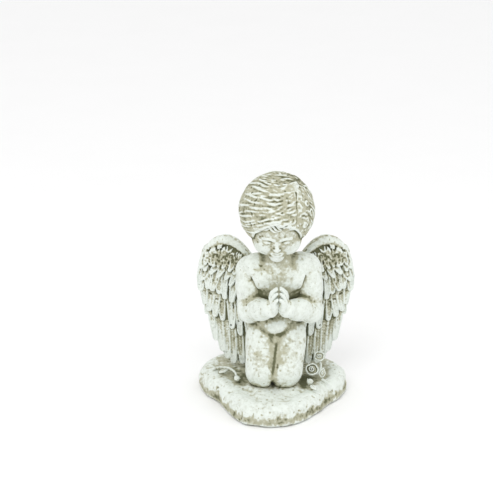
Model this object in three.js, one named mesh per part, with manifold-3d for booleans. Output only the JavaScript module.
// Kneeling cherub garden figurine in cast stone-effect resin, as an assembly of glued castings.
// Millimetres, +Z up. The figure faces -Y, so its own left side is at +X. The origin is on the
// surface it stands on, under the middle of its bounding box.
import * as THREE from 'three';
import { mergeVertices } from 'three/addons/utils/BufferGeometryUtils.js';
import Module from 'manifold-3d';

const wasm = await Module();
wasm.setup();

// ---- driving dimensions ----
const GLUE = 0.3; // gap between neighbouring castings
const PAD_RADIUS = 5;
const PAD_HEIGHT = 1.5;
const PAD_RECESS = 1.2; // depth of the pocket that holds each foot pad
const BASE_BOTTOM = PAD_HEIGHT + GLUE - PAD_RECESS;
const BASE_TOP = 16;
const BASE_EDGE = 3.5; // rounding of the slab's rim
const HEAD_CENTRE = [0, -1.5, 144];
const HAIR_RADII = [26.9, 26.8, 27.5];
const SHOULDER_Z = 101.8;
const SHOULDER_R = 9.8;
const PALM_X = 1.3; // plane where the two hands meet
const WING_ROOT = [6, 15]; // distance from the middle plane, and y, of the wing's inner edge line
const WING_SWEEP = 17; // degrees that each wing is swept back
const WING_PIN = { radius: 2, length: 13, x: 11.5, y: 13, z: 84 }; // x is the same on both sides
const NECK_PIN = { radius: 2.5, length: 24, x: 0.8, y: 1, z: 113 };
const STUD_RADIUS = 4; // locating studs under the knees and in the shoulders
const STUD_DEPTH = 5; // how far each stud goes into its socket
const STUD_ROOT = 4; // how much of each stud is buried in its own casting
const BAND_RADIUS = 4.4; // the rolled band along the top of each wing
const TIP_BULGE = 2.6; // how far each rounded feather tip stands out of its tier's edge
const WING_BEVEL = 1;

// ---- materials ----
const stone = new THREE.MeshStandardMaterial({ color: 0xdfe2da, roughness: 0.85, metalness: 0 });
const wash = new THREE.MeshStandardMaterial({ color: 0xcfcdbb, roughness: 0.88, metalness: 0 });
const steel = new THREE.MeshStandardMaterial({ color: 0x8d8f92, roughness: 0.4, metalness: 0.9 });
const foam = new THREE.MeshStandardMaterial({ color: 0x2c2c2e, roughness: 0.9, metalness: 0 });

// ---- geometry to solid and back ----
function solidOf(geometry) {
  const bare = geometry.clone();
  bare.deleteAttribute('normal');
  bare.deleteAttribute('uv');
  const merged = mergeVertices(bare, 1e-3);
  return new wasm.Manifold(new wasm.Mesh({
    numProp: 3,
    vertProperties: new Float32Array(merged.attributes.position.array),
    triVerts: new Uint32Array(merged.index.array),
  }));
}

function geometryOf(solid) {
  const mesh = solid.getMesh();
  const geometry = new THREE.BufferGeometry();
  geometry.setAttribute('position', new THREE.BufferAttribute(mesh.vertProperties, 3));
  geometry.setIndex(new THREE.BufferAttribute(mesh.triVerts, 1));
  geometry.computeVertexNormals();
  return geometry;
}

// Cutting can leave crumbs beside a casting, so only its largest piece is kept.
function mainPiece(solid) {
  const pieces = solid.decompose();
  return pieces.reduce((best, piece) => (piece.volume() > best.volume() ? piece : best));
}

// ---- rounded building shapes; grow swells a shape, to cut a neighbour with a glue gap ----
function egg(centre, radii, tilt = 0, detail = 12) {
  return (grow) => {
    const g = new THREE.SphereGeometry(1, detail, Math.round(detail * 0.65));
    g.rotateX(Math.PI / 2);
    g.scale(radii[0] + grow, radii[1] + grow, radii[2] + grow);
    g.rotateX(THREE.MathUtils.degToRad(tilt));
    g.translate(...centre);
    return solidOf(g);
  };
}

// A tapered capsule between two points.
function limb(from, to, startRadius, endRadius, sides = 10, capSteps = 2) {
  return (grow) => {
    const a = new THREE.Vector3(...from);
    const b = new THREE.Vector3(...to);
    const along = b.clone().sub(a);
    const length = along.length();
    const [r0, r1] = [startRadius + grow, endRadius + grow];
    const profile = [];
    for (let i = 0; i <= capSteps; i++) {
      const t = (i / capSteps - 1) * Math.PI / 2;
      profile.push(new THREE.Vector2(Math.cos(t) * r0, Math.sin(t) * r0));
    }
    for (let i = 0; i <= capSteps; i++) {
      const t = (i / capSteps) * Math.PI / 2;
      profile.push(new THREE.Vector2(Math.cos(t) * r1, length + Math.sin(t) * r1));
    }
    profile[0].x = 0;
    profile[profile.length - 1].x = 0;
    const g = new THREE.LatheGeometry(profile, sides);
    const up = new THREE.Vector3(0, 1, 0);
    g.applyQuaternion(new THREE.Quaternion().setFromUnitVectors(up, along.normalize()));
    g.translate(a.x, a.y, a.z);
    return solidOf(g);
  };
}

function join(shapes, grow = 0) {
  return shapes.map((shape) => shape(grow)).reduce((all, next) => all.add(next));
}

// A round rod from one point along a direction.
function rod(centre, direction, radius, length) {
  const g = new THREE.CylinderGeometry(radius, radius, length, 16);
  const up = new THREE.Vector3(0, 1, 0);
  g.applyQuaternion(new THREE.Quaternion().setFromUnitVectors(up, direction));
  g.translate(...centre);
  return solidOf(g);
}

// Everything below the level z, for trimming a casting flat where it sits on the base.
function below(z) {
  const g = new THREE.BoxGeometry(200, 200, 100);
  g.translate(0, 0, z - 50);
  return solidOf(g);
}

const AXIS = {
  x: new THREE.Vector3(1, 0, 0),
  y: new THREE.Vector3(0, 1, 0),
  z: new THREE.Vector3(0, 0, 1),
};

// ---- the figure's rounded shapes ----
// side is +1 on the figure's left (+X) and -1 on its right.
const hip = (side) => [side * 9.8 - 0.5, 1, 54];
const knee = (side) => [side * 10.6 - 1.8, -12, 26.4];
const ankle = (side) => [side * 11.5 - 1, 32, 22.5];
const toes = (side) => [side * 12 - 1, 44, 20.6];
const shoulder = (side) => [side * 21.5 + 1.2, 3, SHOULDER_Z];
const elbow = (side) => [side * 21.6 + 2.8, -5, 70.2];
const wrist = (side) => [side * 6.4 + PALM_X, -22.5, 80];
const palm = (side) => [side * 4.4 + PALM_X, -26, 86];
const fingertips = (side) => [side * 2.2 + PALM_X, -29, 93.8];

function legShapes(side) {
  return [
    limb(hip(side), knee(side), 11.8, 10.6),
    limb(knee(side), ankle(side), 10.2, 6.8),
    limb(ankle(side), toes(side), 6.6, 4.4),
    egg([side * 8.6 - 0.5, 12, 51], [10.4, 10, 11]),
  ];
}

const trunkShapes = [
  egg([-0.5, 4, 56.5], [20, 14, 13.5]),
  egg([-0.5, -2, 62], [17.5, 14.8, 13]),
  egg([1.2, 1.5, 86.5], [21.5, 13.5, 20.5]),
  limb([-10, 3, SHOULDER_Z], [12, 3, SHOULDER_Z], SHOULDER_R, SHOULDER_R),
  limb([1.2, 2.5, 102], [0.6, 0.5, 113], 11.5, 10.5),
];
const bodyShapes = [...trunkShapes, ...legShapes(1), ...legShapes(-1)];

function armShapes(side) {
  return [
    limb(shoulder(side), elbow(side), 9.6, 8.2),
    limb(elbow(side), wrist(side), 8, 5.6),
    limb(wrist(side), palm(side), 5.4, 4.8),
    limb(palm(side), fingertips(side), 4.6, 2),
  ];
}

const hairShape = egg(HEAD_CENTRE, HAIR_RADII, 0, 22);
const hairOpening = egg([0, -29.5, 127], [17, 10.5, 14], 0, 20);
const faceShapes = [
  egg([0, -8, 129.5], [18.6, 15.6, 18.4], 14, 20), // brow and jaw
  egg([-6.4, -13.2, 122.6], [9.6, 8.4, 8.6], 0, 14), // right cheek
  egg([6.4, -13.2, 122.6], [9.6, 8.4, 8.6], 0, 14), // left cheek
  egg([0, -14.6, 116.4], [7, 6, 5.4]), // chin
  egg([0, -22.2, 125.4], [2.4, 2.6, 3]), // nose
];

// ---- joints between the castings ----
function shoulderStud(side, grow) {
  const [x, y, z] = shoulder(side);
  const reach = STUD_DEPTH + STUD_ROOT;
  return rod([x - side * (reach / 2 + grow), y, z], AXIS.x, STUD_RADIUS + grow, reach + 2 * grow);
}

function kneeStud(side, grow) {
  const [x, y] = knee(side);
  const top = BASE_TOP + STUD_ROOT;
  const bottom = BASE_TOP - STUD_DEPTH - grow;
  return rod([x, y, (top + bottom) / 2], AXIS.z, STUD_RADIUS + grow, top - bottom);
}

// The wing pins run straight back from the trunk into each wing's thick root.
const wingPinCentre = (side) => [side * WING_PIN.x, WING_PIN.y, WING_PIN.z];
const neckPinCentre = [NECK_PIN.x, NECK_PIN.y, NECK_PIN.z];

function pinHole(centre, direction, pin) {
  return rod(centre, direction, pin.radius + GLUE, pin.length + 2 * GLUE);
}

function makeBody() {
  let body = join(bodyShapes).subtract(below(BASE_TOP + GLUE));
  for (const side of [1, -1]) {
    body = body.add(kneeStud(side, 0));
    body = body.subtract(shoulderStud(side, GLUE));
    body = body.subtract(pinHole(wingPinCentre(side), AXIS.y, WING_PIN));
  }
  return body.subtract(pinHole(neckPinCentre, AXIS.z, NECK_PIN));
}

function makeArm(side) {
  const palmPlane = new THREE.BoxGeometry(100, 200, 300);
  palmPlane.translate(PALM_X - side * (50 - GLUE / 2), 0, 0);
  return mainPiece(join(armShapes(side))
    .subtract(join(bodyShapes, GLUE))
    .add(shoulderStud(side, 0))
    .subtract(solidOf(palmPlane)));
}

function makeHead() {
  return mainPiece(hairShape(0)
    .subtract(hairOpening(0))
    .add(join(faceShapes))
    .subtract(join(trunkShapes, GLUE))
    .subtract(pinHole(neckPinCentre, AXIS.z, NECK_PIN)));
}

// ---- wings: three tiers of feathers under a thick leading edge ----
// Each tier is an outline in the wing's own plane, as [distance out from the root, height].
const TIERS = [
  {
    thickness: 5,
    leading: [[4, 62], [3, 80], [5, 90], [13, 99.5], [19, 107], [24.5, 113.4], [31.5, 116.6],
      [40, 113.8], [47, 105.5], [50.7, 93]],
    tips: [[50.5, 86], [49.6, 75], [47, 63], [44, 51], [38.5, 39.5], [32, 29.5], [25.5, 20.5],
      [17, 19.5], [10.5, 33], [6, 47]],
  },
  {
    thickness: 7.5,
    leading: [[5, 80], [6, 88], [14, 98], [20, 105.5], [26, 112], [32, 114.6], [39.5, 111.8],
      [46, 103.5]],
    tips: [[48.5, 92], [46, 80], [41, 69.5], [35, 60.5], [27.5, 54], [19, 53.5], [12, 60]],
  },
  {
    thickness: 10,
    leading: [[6, 82], [8, 89], [14, 96.5], [20, 104], [26, 110.5], [32, 113], [38, 110.8],
      [43.5, 103]],
    tips: [[45, 95], [40.5, 85.5], [34, 78], [26, 74.5], [17.5, 75.5], [10, 81]],
  },
];
function tierSolid({ thickness, leading, tips }) {
  const shape = new THREE.Shape();
  const edge = new THREE.CatmullRomCurve3(leading.map(([s, z]) => new THREE.Vector3(s, z, 0)));
  edge.getPoints(leading.length + 4).forEach(({ x, y }, i) => {
    if (i === 0) shape.moveTo(x, y);
    else shape.lineTo(x, y);
  });
  let last = new THREE.Vector2(...leading.at(-1));
  for (const tip of [...tips, leading[0]].map(([s, z]) => new THREE.Vector2(s, z))) {
    const chord = tip.clone().sub(last);
    const outward = new THREE.Vector2(chord.y, -chord.x).normalize().multiplyScalar(-TIP_BULGE);
    const control = last.clone().add(tip).multiplyScalar(0.5).add(outward);
    shape.quadraticCurveTo(control.x, control.y, tip.x, tip.y);
    last = tip;
  }
  const g = new THREE.ExtrudeGeometry(shape, {
    depth: thickness - 2 * WING_BEVEL,
    bevelThickness: WING_BEVEL,
    bevelSize: WING_BEVEL,
    bevelOffset: -WING_BEVEL,
    bevelSegments: 1,
    curveSegments: 3,
  });
  g.translate(0, 0, WING_BEVEL - thickness / 2);
  g.rotateX(Math.PI / 2);
  return solidOf(g);
}

// The smooth rolled band along the top of the wing, just inside the tallest tier's edge.
const BAND_DROP = 3;
const BAND_INSET = 1.5;
const BAND_END = [50.3, 90];
const bandShapes = TIERS[0].leading.slice(2, -1).map(([s, z], i, all) => {
  const [nextS, nextZ] = all[i + 1] ?? BAND_END;
  return limb([s, 0, z - BAND_DROP], [nextS - BAND_INSET, 0, nextZ - BAND_DROP], BAND_RADIUS,
    BAND_RADIUS - 0.2, 8, 2);
});

function makeWing(side) {
  const flat = TIERS.map(tierSolid).reduce((all, tier) => all.add(tier)).add(join(bandShapes));
  const g = geometryOf(flat);
  g.rotateZ(THREE.MathUtils.degToRad(WING_SWEEP));
  g.translate(WING_ROOT[0], WING_ROOT[1], 0);
  const made = side > 0 ? solidOf(g) : solidOf(g).mirror([1, 0, 0]);
  return mainPiece(made
    .subtract(join(bodyShapes, GLUE))
    .subtract(join(armShapes(side), GLUE))
    .subtract(hairShape(GLUE))
    .subtract(below(BASE_TOP + GLUE))
    .subtract(pinHole(wingPinCentre(side), AXIS.y, WING_PIN)));
}

// ---- base: a heart-shaped slab of rock, with its point to the front ----
const BASE_OUTLINE = [
  [-4, -52.5], [8.5, -50.2], [18.5, -43.5], [28, -32], [37.5, -18.5], [46, -7], [51.6, 5],
  [52.4, 18], [48.6, 29.5], [40.5, 40], [27, 48.5], [10, 52.3], [-12, 52.5], [-32, 50.3],
  [-46, 42.5], [-54.2, 30], [-56.2, 17], [-53.2, 5.5], [-47, -5], [-41.4, -13.5], [-37.6, -22],
  [-32.8, -33], [-26, -44], [-16, -50.6],
];
const PAD_PLACES = {
  front: [-4, -42], back: [-2, 43], left: [43, 14], right: [-46, 18],
};

function makeBase() {
  const outline = new THREE.CatmullRomCurve3(
    BASE_OUTLINE.map(([x, y]) => new THREE.Vector3(x, y, 0)), true);
  const shape = new THREE.Shape(outline.getPoints(BASE_OUTLINE.length * 2)
    .slice(0, -1).map(({ x, y }) => new THREE.Vector2(x, y)));
  const g = new THREE.ExtrudeGeometry(shape, {
    depth: BASE_TOP - BASE_BOTTOM - 2 * BASE_EDGE,
    bevelThickness: BASE_EDGE,
    bevelSize: BASE_EDGE,
    bevelOffset: -BASE_EDGE,
    bevelSegments: 3,
  });
  g.translate(0, 0, BASE_BOTTOM + BASE_EDGE);
  const pockets = Object.values(PAD_PLACES).map(([x, y]) => (
    rod([x, y, BASE_BOTTOM], AXIS.z, PAD_RADIUS + GLUE, 2 * PAD_RECESS)));
  return pockets.reduce((slab, pocket) => slab.subtract(pocket), solidOf(g))
    .subtract(kneeStud(1, GLUE))
    .subtract(kneeStud(-1, GLUE));
}

// ---- flowers: shapes are made round their own origin, lying with their face to +Z ----
function roseGeometry(radius) {
  const PETALS = 5;
  const petals = [egg([0, 0, radius * 0.15], [radius * 0.66, radius * 0.66, radius * 0.62], 0, 10)];
  for (let i = 0; i < PETALS; i++) {
    const turn = (i / PETALS) * Math.PI * 2;
    const centre = [Math.cos(turn) * radius * 0.5, Math.sin(turn) * radius * 0.5, 0];
    petals.push(egg(centre, [radius * 0.5, radius * 0.5, radius * 0.4], 0, 7));
  }
  return geometryOf(join(petals));
}

function leafGeometry(length) {
  const g = new THREE.SphereGeometry(1, 10, 6);
  g.scale(length / 2, length * 0.26, 0.9);
  return g;
}

function budGeometry(radius) {
  const g = new THREE.SphereGeometry(1, 10, 8);
  g.scale(radius, radius, radius * 1.35);
  return g;
}

function tubeGeometry(points, radius, steps) {
  const path = new THREE.CatmullRomCurve3(points.map((p) => new THREE.Vector3(...p)));
  const SIDES = 6;
  const section = new THREE.Shape();
  for (let i = 0; i < SIDES; i++) {
    const turn = (i / SIDES) * Math.PI * 2;
    section[i ? 'lineTo' : 'moveTo'](Math.cos(turn) * radius, Math.sin(turn) * radius);
  }
  return new THREE.ExtrudeGeometry(section, { steps, extrudePath: path, bevelEnabled: false });
}

const figurine = new THREE.Group();

function place(parent, name, geometry, material, position = [0, 0, 0], turn = [0, 0, 0]) {
  const mesh = new THREE.Mesh(geometry, material);
  mesh.name = name;
  mesh.position.set(...position);
  mesh.rotation.set(...turn.map(THREE.MathUtils.degToRad));
  parent.add(mesh);
  return mesh;
}

// ---- assembly ----
place(figurine, 'base', geometryOf(makeBase()), wash);
place(figurine, 'body', geometryOf(makeBody()), stone);
place(figurine, 'head', geometryOf(makeHead()), stone);
for (const [name, side] of [['left', 1], ['right', -1]]) {
  place(figurine, `${name}_arm`, geometryOf(makeArm(side)), stone);
  place(figurine, `${name}_wing`, geometryOf(makeWing(side)), wash);
  const pin = new THREE.CylinderGeometry(WING_PIN.radius, WING_PIN.radius, WING_PIN.length, 12);
  place(figurine, `${name}_wing_pin`, pin, steel, wingPinCentre(side));
}
place(figurine, 'neck_pin',
  new THREE.CylinderGeometry(NECK_PIN.radius, NECK_PIN.radius, NECK_PIN.length, 12),
  steel, neckPinCentre, [90, 0, 0]);

const ROSE_FACE = [38, 0, 0]; // roses lean towards the front
const sprig = new THREE.Group();
sprig.position.set(26, -1, BASE_TOP);
place(sprig, 'rose_large', roseGeometry(5.6), wash, [0, 0, 5.6], ROSE_FACE);
place(sprig, 'rose_upper', roseGeometry(4.4), wash, [5.4, 5.6, 13.6], ROSE_FACE);
place(sprig, 'rose_side', roseGeometry(3.2), wash, [7.4, -2.9, 4.3], [30, 25, 0]);
place(sprig, 'rose_stem', tubeGeometry([[4, 2.5, 1.3], [6.2, 4.2, 4], [6.8, 5.4, 7], [6.2, 6, 9.2]],
  0.9, 6), wash);
place(sprig, 'rose_vine', tubeGeometry([[7.6, -7.4, 1.2], [8.8, -9.2, 1.3], [10.2, -11.4, 1.3],
  [11.6, -13.6, 1.1]], 0.8, 6), wash);
place(sprig, 'rosebud', budGeometry(2.4), wash, [-1.8, -14.4, 3], [60, 0, 15]);
place(sprig, 'rose_leaf_front', leafGeometry(8), wash, [0.4, -21.4, 1.6], [0, 0, -68]);
figurine.add(sprig);

const twig = new THREE.Group();
twig.position.set(-28, -7, BASE_TOP);
place(twig, 'twig', tubeGeometry([[-17, 17, 1.3], [-12, 19, 1.5], [-6, 17, 1.8], [-1.5, 10, 1.8],
  [-0.4, 3, 1.5]], 1, 10), wash);
place(twig, 'twig_bud', budGeometry(2.3), wash, [0, -1.8, 2.5], [70, 0, 0]);
place(twig, 'twig_leaf', leafGeometry(8), wash, [-9.5, 12.2, 1.6], [0, 0, 40]);
figurine.add(twig);

for (const [where, [x, y]] of Object.entries(PAD_PLACES)) {
  const disc = new THREE.CylinderGeometry(PAD_RADIUS, PAD_RADIUS, PAD_HEIGHT, 24);
  place(figurine, `foot_pad_${where}`, disc, foam, [x, y, PAD_HEIGHT / 2], [90, 0, 0]);
}

export default figurine;
